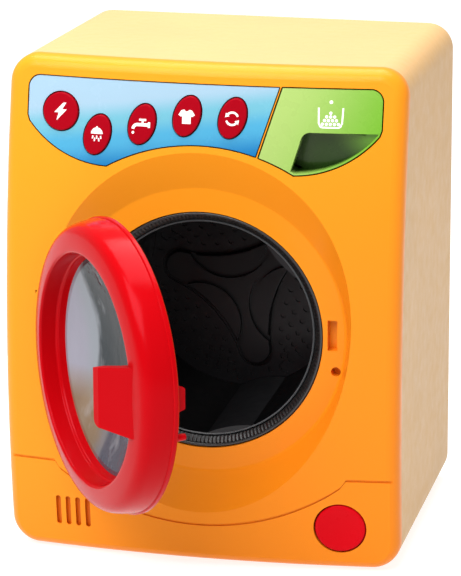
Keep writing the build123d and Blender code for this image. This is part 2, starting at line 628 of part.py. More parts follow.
with BuildPart() as drum_shell:
    with BuildSketch(DRUM_PLANE):
        with BuildLine():
            Polyline(*turned([(R_DRUM_F, 24.2), (R_DRUM_F + 0.5, 23.6), (R_DRUM_F + 1.0, 24.2),
                              (R_DRUM_F + 1.1, 26.2), (R_DRUM_F + 1.6, 26.6), (R_DRUM_B + 2.2, 115.2),
                              (R_DRUM_B, 115.2)]), close=True)
        make_face()
    revolve(axis=DRUM_AXIS)
drum_shell.part.label = "drum_shell"
export_step(drum_shell.part, "parts/drum_shell.step")

# three-armed figure on the drum's back: round tips, sides that bow inwards
ARM, TIP_R, WAIST = 37.5, 8.7, 20.5


def tip(angle, side):
    """Where an arm's straight edge would meet its round tip; side 0 is the tip itself."""
    c, n = cos(radians(angle)), sin(radians(angle))
    if side == 0:
        return ((ARM + TIP_R) * c, (ARM + TIP_R) * n)
    return (ARM * c - side * TIP_R * n, ARM * n + side * TIP_R * c)


with BuildSketch(fan(Y_DISC + 1.4, LIFTERS[0])) as figure:
    with BuildLine():
        for a in (0, 120, 240):
            ThreePointArc(tip(a, -1), tip(a, 0), tip(a, 1))
            ThreePointArc(tip(a, 1), (WAIST * cos(radians(a + 60)), WAIST * sin(radians(a + 60))), tip(a + 120, -1))
    make_face()

with BuildSketch(fan(Y_DISC + 1.2, LIFTERS[0])) as moat:
    with BuildLine():
        for a in (0, 120, 240):
            ThreePointArc(tip(a, -1), tip(a, 0), tip(a, 1))
            ThreePointArc(tip(a, 1), (WAIST * cos(radians(a + 60)), WAIST * sin(radians(a + 60))), tip(a + 120, -1))
    make_face()
    offset(amount=2.4)

with BuildPart() as spider:
    extrude(figure.sketch, amount=4.4)
    fillet(spider.faces().sort_by(Axis.Y)[0].edges(), 0.9)
    # a curved groove along each side
    for a in LIFTERS:
        with BuildSketch(fan(Y_DISC - 0.2, a + 60)):
            with Locations((32.4, 0)):
                Circle(26.3)
                Circle(23.5, mode=Mode.SUBTRACT)
        extrude(amount=5, mode=Mode.SUBTRACT)


def dimples():
    """Places of the dimples in one sector: along its middle line and across it."""
    places = []
    for row, mid in enumerate((27.5, 33.6, 39.7, 45.8, 52.0)):
        bend = 1 / 71.0 - row * (1 / 71.0 + 1 / 52.0) / 4
        for k in range(-8, 9):
            arc = (k + 0.5 * (row % 2)) * (8.2 - 0.3 * row)
            w = sin(bend * arc) / bend if abs(bend) > 1e-6 else arc
            u = mid + (1 - sqrt(1 - (bend * w) ** 2)) / bend if abs(bend) > 1e-6 else mid
            if abs(bend * arc) > 1.4 or u * u + w * w > 55.0 ** 2:
                continue
            # keep clear of the two arms beside the sector
            off = min(sqrt((u - t * 0.5) ** 2 + (abs(w) - t * 0.866) ** 2) for t in (22, 25, 28, 31, 34, 37.5))
            if off > TIP_R + 5.2 and w * w < 3 * u * u:
                places.append((u, w))
    return places


with BuildPart() as drum_disc:
    bar(0, ZD, Y_DISC, Y_DISC + 3.2, R_DRUM_B - 0.03)
    extrude(moat.sketch, amount=3, mode=Mode.SUBTRACT)
    add(spider.part)
    # rows of dimples between the arms
    for a in LIFTERS:
        t = radians(a + 60)
        for u, w in dimples():
            bar(u * cos(t) - w * sin(t), ZD + u * sin(t) + w * cos(t), Y_DISC - 1, Y_DISC + 0.9, 1.6,
                mode=Mode.SUBTRACT)
    # hub
    bar(0, ZD, Y_DISC + 3.2, Y_DISC + 6.6, 8.0)
    bar(0, ZD, Y_DISC - 1, Y_DISC + 9, R_SHAFT, mode=Mode.SUBTRACT)
drum_disc.part.label = "drum_disc"
export_step(drum_disc.part, "parts/drum_disc.step")

with BuildPart() as drum_space:
    with BuildSketch(DRUM_PLANE):
        with BuildLine():
            Polyline(*turned([(0, 24.4), (R_DRUM_F - 0.08, 24.4), (R_DRUM_B + 0.02, 110.6), (0, 110.6)]), close=True)
        make_face()
    revolve(axis=DRUM_AXIS)

# low wide humps along the drum wall
with BuildPart() as drum_lifters:
    for a in LIFTERS:
        with BuildSketch(fan(Y0 + 24.4, a)):
            with BuildLine():
                ThreePointArc((59.5, -13.6), (58.0, 0), (59.5, 13.6))
                Polyline((59.5, 13.6), (70, 15.0), (70, -15.0), (59.5, -13.6))
            make_face()
        with BuildSketch(fan(Y0 + 110.6, a)):
            with BuildLine():
                ThreePointArc((57.4, -13.4), (55.6, 0), (57.4, 13.4))
                Polyline((57.4, 13.4), (70, 15.0), (70, -15.0), (57.4, -13.4))
            make_face()
        loft(ruled=True)
    add(drum_space.part, mode=Mode.INTERSECT)
drum_lifters.part.label = "drum_lifters"
export_step(drum_lifters.part, "parts/drum_lifters.step")

with BuildPart() as drum_shaft:
    bar(0, ZD, Y_DISC - 1.0, Y0 + 147.0, R_SHAFT)
    chamfer(drum_shaft.edges().filter_by(GeomType.CIRCLE).sort_by(Axis.Y)[-1], 0.5)
    bar(0, ZD, Y0 + 138.0, Y0 + 148.0, 1.25, mode=Mode.SUBTRACT)
drum_shaft.part.label = "drum_shaft"
export_step(drum_shaft.part, "parts/drum_shaft.step")

with BuildPart() as drum_pulley:
    with BuildSketch(DRUM_PLANE):
        with BuildLine():
            Polyline(*turned([(R_SHAFT, Y_PUL - 1.6), (8.5, Y_PUL - 1.6), (8.5, Y_PUL + 1.5), (30.0, Y_PUL + 1.5),
                              (30.0, Y_PUL), (R_PUL + 3.0, Y_PUL), (R_PUL + 3.0, Y_PUL + 0.8), (R_PUL, Y_PUL + 1.5),
                              (R_PUL, Y_PUL + PUL_T - 1.5), (R_PUL + 3.0, Y_PUL + PUL_T - 0.8),
                              (R_PUL + 3.0, Y_PUL + PUL_T), (30.0, Y_PUL + PUL_T), (30.0, Y_PUL + 5.0),
                              (8.5, Y_PUL + 5.0), (8.5, Y_PUL + 11.0), (R_SHAFT, Y_PUL + 11.0)]), close=True)
        make_face()
    revolve(axis=DRUM_AXIS)
    with BuildSketch(fan(Y0 + Y_PUL + 9, 0)):
        with PolarLocations(19.0, 6):
            Circle(6.5)
    extrude(amount=12, mode=Mode.SUBTRACT)
drum_pulley.part.label = "drum_pulley"
export_step(drum_pulley.part, "parts/drum_pulley.step")

with BuildPart() as pulley_screw:
    bar(0, ZD, Y0 + 147.0, Y0 + 148.0, 6.0)
    bar(0, ZD, Y0 + 148.0, Y0 + 150.2, 3.2)
    bar(0, ZD, Y0 + 139.0, Y0 + 147.0, 1.2)
    block(-2.4, 2.4, Y0 + 149.2, Y0 + 151, ZD - 0.4, ZD + 0.4, mode=Mode.SUBTRACT)
    block(-0.4, 0.4, Y0 + 149.2, Y0 + 151, ZD - 2.4, ZD + 2.4, mode=Mode.SUBTRACT)
pulley_screw.part.label = "pulley_screw"
export_step(pulley_screw.part, "parts/pulley_screw.step")

# ------------------------------------------------------------------
# Motor and belt
# ------------------------------------------------------------------
with BuildPart() as motor:
    bar(MX, MZ, Y0 + 94.0, Y0 + 124.0, 12.0)
    block(MX - 14, MX + 14, Y0 + 90, Y0 + 126, MZ + 9.2, MZ + 14, mode=Mode.SUBTRACT)
    block(MX - 14, MX + 14, Y0 + 90, Y0 + 126, MZ - 14, MZ - 9.2, mode=Mode.SUBTRACT)
    bar(MX, MZ, Y0 + 124.0, Y0 + 126.0, 3.0)
    bar(MX, MZ, Y0 + 92.2, Y0 + 94.0, 3.5)
    bar(MX, MZ, Y0 + 112.0, Y0 + 127.0, 1.0 + RUN, mode=Mode.SUBTRACT)
    for dx in (-8.5, 8.5):
        bar(MX + dx, MZ, Y0 + 119, Y0 + 125, 1.0, mode=Mode.SUBTRACT)
        block(MX + dx - 1.2, MX + dx + 1.2, Y0 + 91.0, Y0 + 94.0, MZ - 0.3, MZ + 0.3)
motor.part.label = "motor"
export_step(motor.part, "parts/motor.step")

with BuildPart() as motor_screws:
    for dx in (-8.5, 8.5):
        bar(MX + dx, MZ, Y0 + 127.0, Y0 + 128.4, 2.1)
        bar(MX + dx, MZ, Y0 + 120.0, Y0 + 127.0, 0.95)
motor_screws.part.label = "motor_screws"
export_step(motor_screws.part, "parts/motor_screws.step")

with BuildPart() as motor_shaft:
    bar(MX, MZ, Y0 + 114.0, Y0 + 143.0, 1.0)
motor_shaft.part.label = "motor_shaft"
export_step(motor_shaft.part, "parts/motor_shaft.step")

with BuildPart() as motor_pulley:
    with BuildSketch(Plane((MX, 0, MZ))):
        with BuildLine():
            Polyline(*turned([(1.0, Y_PUL), (R_MPUL + 2.6, Y_PUL), (R_MPUL + 2.6, Y_PUL + 0.8), (R_MPUL, Y_PUL + 1.5),
                              (R_MPUL, Y_PUL + PUL_T - 1.5), (R_MPUL + 2.6, Y_PUL + PUL_T - 0.8),
                              (R_MPUL + 2.6, Y_PUL + PUL_T), (1.0, Y_PUL + PUL_T)]), close=True)
        make_face()
    revolve(axis=Axis((MX, 0, MZ), (0, 1, 0)))
motor_pulley.part.label = "motor_pulley"
export_step(motor_pulley.part, "parts/motor_pulley.step")

YM = Y0 + Y_PUL + PUL_T / 2
with BuildPart() as drive_belt:
    with BuildSketch(fp(YM + BELT_W / 2)):
        with Locations((0, ZD)):
            Circle(R_PUL + BELT_GAP + BELT_T)
        with Locations((MX, MZ)):
            Circle(R_MPUL + BELT_GAP + BELT_T)
        make_hull()
    extrude(amount=BELT_W)
    with BuildSketch(fp(YM + BELT_W / 2 + 1)):
        with Locations((0, ZD)):
            Circle(R_PUL + BELT_GAP)
        with Locations((MX, MZ)):
            Circle(R_MPUL + BELT_GAP)
        make_hull()
    extrude(amount=BELT_W + 2, mode=Mode.SUBTRACT)
drive_belt.part.label = "drive_belt"
export_step(drive_belt.part, "parts/drive_belt.step")

# ------------------------------------------------------------------
# Detergent drawer and its housing
# ------------------------------------------------------------------
# finger recess: a sloped floor, deep at the left and shallow at the right,
# below a line that bends round the upper edge
with BuildSketch(fp(Y0 + 60)) as scoop_edge:
    add(drawer_face.sketch)
    offset(amount=-0.9)

with BuildPart() as scoop:
    with BuildSketch(Plane((0, 0, 210))):
        with BuildLine():
            Polyline((101.0, yf(99, 243) + 2.2), (101.0, Y0 - 6), (48.0, Y0 - 6), (48.0, yf(52, 236) + 12.4),
                     (54.0, yf(52, 236) + 12.4))
            ThreePointArc((54.0, yf(52, 236) + 12.4), (77.0, yf(76, 238) + 8.6), (101.0, yf(99, 243) + 2.2))
        make_face()
    extrude(amount=60)
    extrude(scoop_edge.sketch, amount=90, mode=Mode.INTERSECT)
    with BuildSketch(fp(Y0 + 45)):
        with BuildLine():
            Polyline((51.2, 219.0), (49.9, 224.4), (54.4, 239.4), (55.7, 244.0))
            ThreePointArc((55.7, 244.0), (57.8, 246.8), (61.5, 247.6))
            Polyline((61.5, 247.6), (101.0, 247.6), (101.0, 219.0), (51.2, 219.0))
        make_face()
    extrude(amount=60, mode=Mode.INTERSECT)

# groove above it for a fingertip to hook in
with BuildPart() as hook_groove:
    with BuildSketch(Plane((0, 0, 246.0))):
        with BuildLine():
            Polyline((58.0, yf(58, 250) + 2.6), (58.0, yf(52, 236) + 11.6), (66.0, yf(52, 236) + 10.0),
                     (90.0, yf(90, 250) + 4.6), (90.0, yf(90, 250) + 2.6), close=True)
        make_face()
    extrude(amount=7.5)

with BuildPart() as drawer_front:
    extrude(drawer_face.sketch, amount=70)
    with crown(0.15):
        Sphere(RS, mode=Mode.INTERSECT)
    with crown(14.0):
        Sphere(RS, mode=Mode.SUBTRACT)
    add(scoop.part, mode=Mode.SUBTRACT)
    add(hook_groove.part, mode=Mode.SUBTRACT)
drawer_front.part.label = "drawer_front"
export_step(drawer_front.part, "parts/drawer_front.step")

with BuildPart() as drawer_tray:
    block(TRAY[0], TRAY[1], Y0 + 20, Y0 + TRAY[3], TRAY[4], TRAY[5])
    block(TRAY[0] + 1.6, 70.0, Y0 + 42.0, Y0 + TRAY[3] - 1.6, TRAY[4] + 1.6, TRAY[5] + 5, mode=Mode.SUBTRACT)
    block(71.4, TRAY[1] - 1.6, Y0 + 42.0, Y0 + TRAY[3] - 1.6, TRAY[4] + 1.6, TRAY[5] + 5, mode=Mode.SUBTRACT)
    block(60.0, 82.0, Y0 + 42.0, Y0 + TRAY[3] - 1.6, TRAY[5] - 5, TRAY[5] + 5, mode=Mode.SUBTRACT)
    with crown(14.02):
        Sphere(RS, mode=Mode.INTERSECT)
drawer_tray.part.label = "drawer_tray"
export_step(drawer_tray.part, "parts/drawer_tray.step")

with BuildPart() as drawer_housing:
    block(TRAY[0] - 2.1, TRAY[1] + 2.1, Y0 + 42.1, Y0 + 118.0, TRAY[4] - 2.1, TRAY[5] + 2.1)
    block(TRAY[0] - 0.5, TRAY[1] + 0.5, Y0 + 40, Y0 + 116.2, TRAY[4] - 0.5, TRAY[5] + 0.5, mode=Mode.SUBTRACT)
    for px, pz in DRAWER_POSTS:
        block(px - 5, px + 5, Y0 + 42.1, Y0 + 44.1, TRAY[5] + 1.5, 277.6)
        bar(px, pz, Y0 + 41, Y0 + 46, 1.25, mode=Mode.SUBTRACT)
drawer_housing.part.label = "drawer_housing"
export_step(drawer_housing.part, "parts/drawer_housing.step")

with BuildPart() as housing_screws:
    for px, pz in DRAWER_POSTS:
        bar(px, pz, Y0 + 44.1, Y0 + 45.5, 2.0)
        bar(px, pz, Y0 + 36.0, Y0 + 44.1, 0.95)
housing_screws.part.label = "housing_screws"
export_step(housing_screws.part, "parts/housing_screws.step")

# ------------------------------------------------------------------
# Hinge pin
# ------------------------------------------------------------------
with BuildPart() as hinge_pin:
    with Locations((HX, HY, ZD)):
        Cylinder(1.5, 51.0)
hinge_pin.part.label = "hinge_pin"
export_step(hinge_pin.part, "parts/hinge_pin.step")

# ------------------------------------------------------------------
# Door, standing open. In its own coordinates u runs from the hinge side
# to the free side, v runs up and s runs out of the door's outer face.
# ------------------------------------------------------------------
ca, sa = cos(radians(DOOR_ANGLE)), sin(radians(DOOR_ANGLE))
DC = (HX - HX * ca + (DOOR_BACK - HY) * sa, HY + HX * sa + (DOOR_BACK - HY) * ca, ZD)
DOOR = Plane(DC, x_dir=(ca, -sa, 0), z_dir=(-sa, -ca, 0))
SIDE = Plane(DC, x_dir=(ca, -sa, 0), z_dir=(0, 0, 1))
SG = 1 if SIDE.y_dir.dot(DOOR.z_dir) > 0 else -1
TONGUE = Plane(DC, x_dir=(0, 0, 1), z_dir=(ca, -sa, 0))
DOOR_AXIS = Axis(DC, (-sa, -ca, 0))
HU, HS = HX, DOOR_BACK - HY        # hinge axis as u and s


def us(points):
    """(u or radius, s) pairs as points of the side plane."""
    return [(u, SG * s) for u, s in points]


RING_IN = [(59.6, 6.2), (61.4, 6.2), (62.3, 9.6), (63.3, 11.4), (64.2, 17.9), (65.0, 18.4), (66.2, 18.2),
           (70.2, 17.4), (73.2, 16.0), (75.0, 14.6), (76.2, 12.2), (76.8, 10.2), (77.1, 3.0), (79.4, 3.0)]

# visible profile of the ring, from its foot over the crest down to the window
with BuildLine() as ring_curve:
    Spline(*us([(79.4, 3.0), (78.9, 8.0), (78.0, 12.5), (76.6, 15.6), (74.0, 17.9), (70.0, 19.2), (66.0, 20.0),
                (63.8, 20.2)]), tangents=[(0, SG), (-1, 0)])
    ThreePointArc((63.8, SG * 20.2), (62.8, SG * 19.75), (62.4, SG * 18.9))
    Polyline(*us([(62.4, 18.9), (61.7, 11.4)]))
    ThreePointArc((61.7, SG * 11.4), (61.4, SG * 10.8), (60.8, SG * 10.4))
    Polyline(*us([(60.8, 10.4), (60.4, 9.6), (59.6, 6.2)]))

with BuildPart() as door_ring:
    with BuildSketch(SIDE):
        with BuildLine():
            add(ring_curve.line)
            Polyline(*us(RING_IN))
        make_face()
    revolve(axis=DOOR_AXIS)
door_ring.part.label = "door_ring"
export_step(door_ring.part, "parts/door_ring.step")

with BuildPart() as door_back:
    with BuildSketch(SIDE):
        with BuildLine():
            Polyline(*us([(57.9, 0.5), (58.4, 0.0), (79.6, 0.0), (80.2, 0.6), (80.2, 2.4), (79.6, 3.0),
                          (75.9, 3.0), (75.9, 9.5), (75.2, 9.9), (73.8, 9.9), (73.8, 3.0), (57.9, 3.0)]), close=True)
        make_face()
    revolve(axis=DOOR_AXIS)
    # latch tongue and round peg on the free side
    with BuildSketch(TONGUE.offset(71.6)):
        with BuildLine():
            Polyline((-5.8, 0.6), (-5.8, -1.0), (-4.9, -3.0), (-4.1, -5.3), (-3.6, -5.7), (7.0, -5.7), (7.5, -5.3),
                     (8.3, -3.0), (9.2, -1.0), (9.2, 0.6), close=True)
        make_face()
    extrude(amount=2.8)
    with BuildSketch(DOOR.offset(0.6)):
        with Locations((74.8, -18.7)):
            Circle(2.2)
    extrude(amount=-5.8, taper=5)
    # hinge arms on the other side
    for v1 in (-20.0, 8.0):
        with BuildSketch(SIDE.offset(v1)):
            with BuildLine():
                Polyline(*us([(-91.2, 4.6), (-84.0, 0.0), (-75.0, 0.0), (-75.0, 2.6), (-80.3, 3.0),
                              (-85.0, 5.0), (-86.2, 8.0)]), close=True)
            make_face()
            with Locations((HU, SG * HS)):
                Circle(3.3)
        extrude(amount=12.0)
    with Locations((HX, HY, ZD)):
        Cylinder(1.5 + RUN, 60.0, mode=Mode.SUBTRACT)
door_back.part.label = "door_back"
export_step(door_back.part, "parts/door_back.step")

def bowl(r, r_rim, depth, rise):
    """Depth at radius r of a spherical bowl that is depth deep at its middle."""
    h = depth + rise
    big = (r_rim * r_rim + h * h) / (2 * h)
    return depth - (big - sqrt(big * big - r * r))


# clear bowl, domed towards the drum, its rim held between the two rings
with BuildPart() as door_window:
    with BuildSketch(SIDE):
        with BuildLine():
            Line((0, -SG * 11.4), (0, -SG * 9.4))
            ThreePointArc((0, -SG * 9.4), (33.0, -SG * bowl(33.0, 54.6, 9.4, 5.0)), (54.6, SG * 5.0))
            Polyline(*us([(54.6, 5.0), (57.0, 6.2), (63.2, 6.2), (63.2, 3.0), (57.6, 3.0)]))
            ThreePointArc((57.6, SG * 3.0), (33.6, -SG * bowl(33.6, 57.6, 11.4, 3.0)), (0, -SG * 11.4))
        make_face()
    revolve(axis=DOOR_AXIS)
door_window.part.label = "door_window"
export_step(door_window.part, "parts/door_window.step")

# space under the hood, and the body of the ring that it sits on
with BuildPart() as hood_space:
    with BuildSketch(SIDE.offset(-16.2)):
        with BuildLine():
            Polyline(*us([(66.0, 8.0), (66.0, 16.4), (50.6, 31.4), (44.0, 37.0), (38.0, 20.0), (50.0, 8.0)]), close=True)
        make_face()
    extrude(amount=32.4)

with BuildPart() as ring_body:
    with BuildSketch(SIDE):
        with BuildLine():
            add(ring_curve.line)
            Polyline(*us([(59.6, 6.2), (79.4, 3.0)]))
        make_face()
    revolve(axis=DOOR_AXIS)

# scoop handle on the free side of the ring, open towards the middle
with BuildPart() as door_handle:
    with BuildSketch(SIDE.offset(-19.5)):
        with BuildLine():
            Polyline(*us([(75.0, 12.0), (66.4, 19.0), (51.8, 33.4), (48.4, 34.6), (46.0, 33.8), (55.0, 22.0),
                          (59.0, 12.0)]), close=True)
        make_face()
    extrude(amount=39.0)
    with BuildSketch(DOOR.offset(8)):
        with BuildLine():
            Polyline((80, 19.4), (64.7, 18.8), (50.2, 17.3))
            ThreePointArc((50.2, 17.3), (48.0, 16.4), (47.2, 14.2))
            ThreePointArc((47.2, 14.2), (46.4, 1.0), (48.6, -12.0))
            ThreePointArc((48.6, -12.0), (49.5, -13.8), (51.2, -14.9))
            Polyline((51.2, -14.9), (64.7, -19.4), (80, -19.4), (80, 19.4))
        make_face()
    extrude(amount=30, mode=Mode.INTERSECT)
    add(hood_space.part, mode=Mode.SUBTRACT)
    add(ring_body.part, mode=Mode.SUBTRACT)
door_handle.part.label = "door_handle"
export_step(door_handle.part, "parts/door_handle.step")
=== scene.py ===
import bpy, bmesh, math
from math import sin, cos, tan, radians, degrees, pi, sqrt, atan2, hypot
from mathutils import Vector, Matrix


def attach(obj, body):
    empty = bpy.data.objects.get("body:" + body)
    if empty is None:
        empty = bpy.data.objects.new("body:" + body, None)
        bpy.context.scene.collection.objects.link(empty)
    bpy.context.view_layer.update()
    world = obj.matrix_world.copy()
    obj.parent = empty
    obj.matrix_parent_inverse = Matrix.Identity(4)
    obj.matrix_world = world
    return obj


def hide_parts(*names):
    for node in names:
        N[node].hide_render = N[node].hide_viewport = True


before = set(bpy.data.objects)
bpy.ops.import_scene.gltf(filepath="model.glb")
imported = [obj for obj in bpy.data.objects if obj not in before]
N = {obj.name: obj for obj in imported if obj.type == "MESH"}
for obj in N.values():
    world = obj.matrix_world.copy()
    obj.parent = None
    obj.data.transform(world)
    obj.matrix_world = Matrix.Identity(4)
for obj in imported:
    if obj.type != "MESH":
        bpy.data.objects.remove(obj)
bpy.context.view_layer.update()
scene = bpy.context.scene

# ------------------------------------------------------------------
# Measures shared with the CAD model, in millimetres
# ------------------------------------------------------------------
Y0, RS, ZC, ZD = -94.0, 732.0, 102.7, 132.3
POWER = (-79.6, 252.3, 10.2)
OVALS = ((-57.9, 241.2), (-32.5, 248.2), (-7.3, 253.8), (18.0, 253.8))
FOOT = (79.6, 26.7, 14.3)


def yf(x, z, shift=0.0):
    return Y0 + RS + shift - sqrt(RS * RS - x * x - (z - ZC) ** 2)


# ------------------------------------------------------------------
# Material helpers
# ------------------------------------------------------------------
def nodes_of(name):
    m = bpy.data.materials.new(name)
    m.use_nodes = True
    nt = m.node_tree
    nt.nodes.clear()
    out = nt.nodes.new("ShaderNodeOutputMaterial")
    b = nt.nodes.new("ShaderNodeBsdfPrincipled")
    nt.links.new(b.outputs[0], out.inputs[0])
    return m, nt, b


def put(nt, kind, **kw):
    n = nt.nodes.new(kind)
    for k, v in kw.items():
        setattr(n, k, v)
    return n


def noise(nt, coords, scale, detail=3.0, rough=0.5):
    n = put(nt, "ShaderNodeTexNoise")
    n.inputs["Scale"].default_value = scale
    n.inputs["Detail"].default_value = detail
    n.inputs["Roughness"].default_value = rough
    nt.links.new(coords, n.inputs["Vector"])
    return n.outputs["Fac"]


def ramp(nt, fac, stops, interp="LINEAR"):
    r = put(nt, "ShaderNodeValToRGB")
    r.color_ramp.interpolation = interp
    e = r.color_ramp.elements
    while len(e) < len(stops):
        e.new(0.5)
    for el, (p, c) in zip(e, stops):
        el.position = p
        el.color = (*c, 1) if len(c) == 3 else c
    nt.links.new(fac, r.inputs[0])
    return r.outputs[0]


def lin(r, g, b):
    """sRGB bytes to linear."""
    def f(c):
        c /= 255.0
        return c / 12.92 if c <= 0.04045 else ((c + 0.055) / 1.055) ** 2.4
    return (f(r), f(g), f(b))


def plastic(name, base, rough=0.28, coat=0.25, coat_rough=0.08, grain=0.02, grain_scale=900.0, mottle=0.04,
            wave=0.0, spec=0.5, edge=0.0, sss=0.0, tint=None):
    """Moulded plastic: soft mottling of colour and gloss, a fine skin texture and, if asked, a faint long wave as
    in large mouldings."""
    m, nt, b = nodes_of(name)
    tc = put(nt, "ShaderNodeTexCoord")
    obj = tc.outputs["Object"]
    big = noise(nt, obj, 14.0, 2.0)
    mid = noise(nt, obj, 140.0, 3.0)
    fine = noise(nt, obj, grain_scale, 2.0)
    dark = tuple(c * (1 - mottle) for c in base)
    light = tuple(min(1.0, c * (1 + mottle * 0.6)) for c in base)
    col = ramp(nt, big, [(0.3, dark), (0.7, light)])
    nt.links.new(col, b.inputs["Base Color"])
    mr = put(nt, "ShaderNodeMapRange")
    mr.inputs["From Min"].default_value, mr.inputs["From Max"].default_value = 0.3, 0.7
    mr.inputs["To Min"].default_value, mr.inputs["To Max"].default_value = rough * 0.85, rough * 1.15
    nt.links.new(mid, mr.inputs["Value"])
    nt.links.new(mr.outputs[0], b.inputs["Roughness"])
    b.inputs["Coat Weight"].default_value = coat
    b.inputs["Coat Roughness"].default_value = coat_rough
    b.inputs["Specular IOR Level"].default_value = spec
    if tint:
        b.inputs["Specular Tint"].default_value = (*tint, 1)
        b.inputs["Coat Tint"].default_value = (*tint, 1)
    if sss:
        b.inputs["Subsurface Weight"].default_value = sss
        b.inputs["Subsurface Radius"].default_value = (0.004, 0.002, 0.001)
        b.inputs["Subsurface Scale"].default_value = 1.0
    bump = put(nt, "ShaderNodeBump")
    bump.inputs["Strength"].default_value = grain
    bump.inputs["Distance"].default_value = 0.0004
    nt.links.new(fine, bump.inputs["Height"])
    if wave:
        b2 = put(nt, "ShaderNodeBump")
        b2.inputs["Strength"].default_value = wave
        b2.inputs["Distance"].default_value = 0.004
        nt.links.new(big, b2.inputs["Height"])
        nt.links.new(b2.outputs[0], bump.inputs["Normal"])
    nt.links.new(bump.outputs[0], b.inputs["Normal"])
    return m


def axis_value(nt, vec, axis):
    s = put(nt, "ShaderNodeSeparateXYZ")
    nt.links.new(vec, s.inputs[0])
    return s.outputs["XYZ".index(axis)]


def math_node(nt, op, a, b=None, c=None):
    m = put(nt, "ShaderNodeMath", operation=op)
    for i, v in enumerate((a, b, c)):
        if v is None:
            continue
        if isinstance(v, (int, float)):
            m.inputs[i].default_value = v
        else:
            nt.links.new(v, m.inputs[i])
    return m.outputs[0]


def linear_field(nt, kx, ky, kz, k0):
    """kx*x + ky*y + kz*z + k0 of the object coordinates, in metres, held between 0 and 1."""
    tc = put(nt, "ShaderNodeTexCoord")
    s = put(nt, "ShaderNodeSeparateXYZ")
    nt.links.new(tc.outputs["Object"], s.inputs[0])
    v = 0.0
    for i, k in enumerate((kx, ky, kz)):
        if k:
            v = math_node(nt, "MULTIPLY_ADD", s.outputs[i], k, v)
    a = put(nt, "ShaderNodeMath", operation="ADD", use_clamp=True)
    nt.links.new(v, a.inputs[0])
    a.inputs[1].default_value = k0
    return a.outputs[0]


def recolor(mat, stops, k):
    """Base colour from a linear field through a ramp, keeping the rest of the material."""
    nt = mat.node_tree
    b = next(n for n in nt.nodes if n.type == "BSDF_PRINCIPLED")
    for l in list(b.inputs["Base Color"].links):
        nt.links.remove(l)
    nt.links.new(ramp(nt, linear_field(nt, *k), stops, "EASE"), b.inputs["Base Color"])
    return mat


def base_input(mat):
    nt = mat.node_tree
    b = next(n for n in nt.nodes if n.type == "BSDF_PRINCIPLED")
    return nt, b, b.inputs["Base Color"].links[0].from_socket


def depth_mm(nt):
    """How far a point lies behind the crowned front surface, in mm."""
    tc = put(nt, "ShaderNodeTexCoord")
    d = put(nt, "ShaderNodeVectorMath", operation="DISTANCE")
    nt.links.new(tc.outputs["Object"], d.inputs[0])
    d.inputs[1].default_value = (0, (Y0 + RS) / 1000, ZC / 1000)
    return math_node(nt, "MULTIPLY_ADD", d.outputs["Value"], -1000.0, RS)


def ramp_up(nt, value, lo, hi):
    m = put(nt, "ShaderNodeMapRange", interpolation_type="SMOOTHSTEP")
    m.inputs["From Min"].default_value, m.inputs["From Max"].default_value = lo, hi
    nt.links.new(value, m.inputs["Value"])
    return m.outputs[0]


def shade(mat, factor_of, dark):
    """Multiplies the base colour towards dark where factor_of(nt) is 1."""
    nt, b, col = base_input(mat)
    f = factor_of(nt)
    mx = put(nt, "ShaderNodeMix", data_type="RGBA", blend_type="MULTIPLY")
    nt.links.new(f, mx.inputs[0])
    nt.links.new(col, mx.inputs[6])
    mx.inputs[7].default_value = (*dark, 1)
    nt.links.new(mx.outputs[2], b.inputs["Base Color"])
    return mat


def metal(name, base, rough=0.3, brushed=60.0):
    m, nt, b = nodes_of(name)
    tc = put(nt, "ShaderNodeTexCoord")
    mp = put(nt, "ShaderNodeMapping")
    mp.inputs["Scale"].default_value = (1, 12, 12)
    nt.links.new(tc.outputs["Object"], mp.inputs["Vector"])
    f = noise(nt, mp.outputs[0], brushed, 4.0)
    nt.links.new(ramp(nt, f, [(0.3, tuple(c * 0.82 for c in base)), (0.7, base)]), b.inputs["Base Color"])
    b.inputs["Metallic"].default_value = 1.0
    b.inputs["Roughness"].default_value = rough
    return m


ORANGE = (0.82, 0.25, 0.008)
CREAM = (0.64, 0.395, 0.175)
RED = (0.42, 0.001, 0.003)

m_orange = plastic("casing_orange", ORANGE, rough=0.34, coat=0.08, coat_rough=0.15, grain=0.02, wave=0.05, mottle=0.02,
                   spec=0.28, tint=(1.0, 0.72, 0.3))
# painted light: the base colour runs from a lighter yellow-orange at the upper left to a deeper orange at the lower
# right, as the light falls from the upper left
recolor(m_orange, [(0.0, (0.8, 0.285, 0.014)), (1.0, (0.79, 0.215, 0.007))], (2.2, 0.0, -2.6, 0.86))
m_cream = plastic("shell_cream", CREAM, rough=0.42, coat=0.0, coat_rough=0.2, grain=0.05, wave=0.05, mottle=0.03,
                  spec=0.12)
m_red = plastic("door_red", RED, rough=0.2, coat=0.0, coat_rough=0.05, grain=0.01, wave=0.03, mottle=0.03,
                spec=0.12, tint=(1.0, 0.3, 0.4))
m_red_btn = plastic("button_red", (0.3, 0.002, 0.008), rough=0.22, coat=0.0, coat_rough=0.05, grain=0.01, mottle=0.03,
                    spec=0.06, tint=(1.0, 0.3, 0.35))
m_red_foot = plastic("foot_red", (0.56, 0.0015, 0.006), rough=0.3, coat=0.0, coat_rough=0.05, grain=0.01, mottle=0.03,
                     spec=0.18, tint=(1.0, 0.2, 0.25))
m_blue = plastic("panel_blue", lin(120, 200, 240), rough=0.25, coat=0.08, coat_rough=0.06, grain=0.015, spec=0.2)
recolor(m_blue, [(0.0, (0.29, 0.43, 0.54)), (0.3, (0.13, 0.38, 0.48)), (0.57, (0.06, 0.31, 0.5)), (1.0, (0.004, 0.14, 0.37))],
        (3.5, 0.0, -26.0, 6.95))
m_green = plastic("drawer_green", lin(145, 205, 75), rough=0.28, coat=0.2, coat_rough=0.08, grain=0.015, spec=0.35,
                  tint=(0.85, 1.0, 0.6))
recolor(m_green, [(0.0, (0.34, 0.47, 0.14)), (1.0, (0.14, 0.36, 0.022))], (14.0, 0.0, -6.0, 1.0))
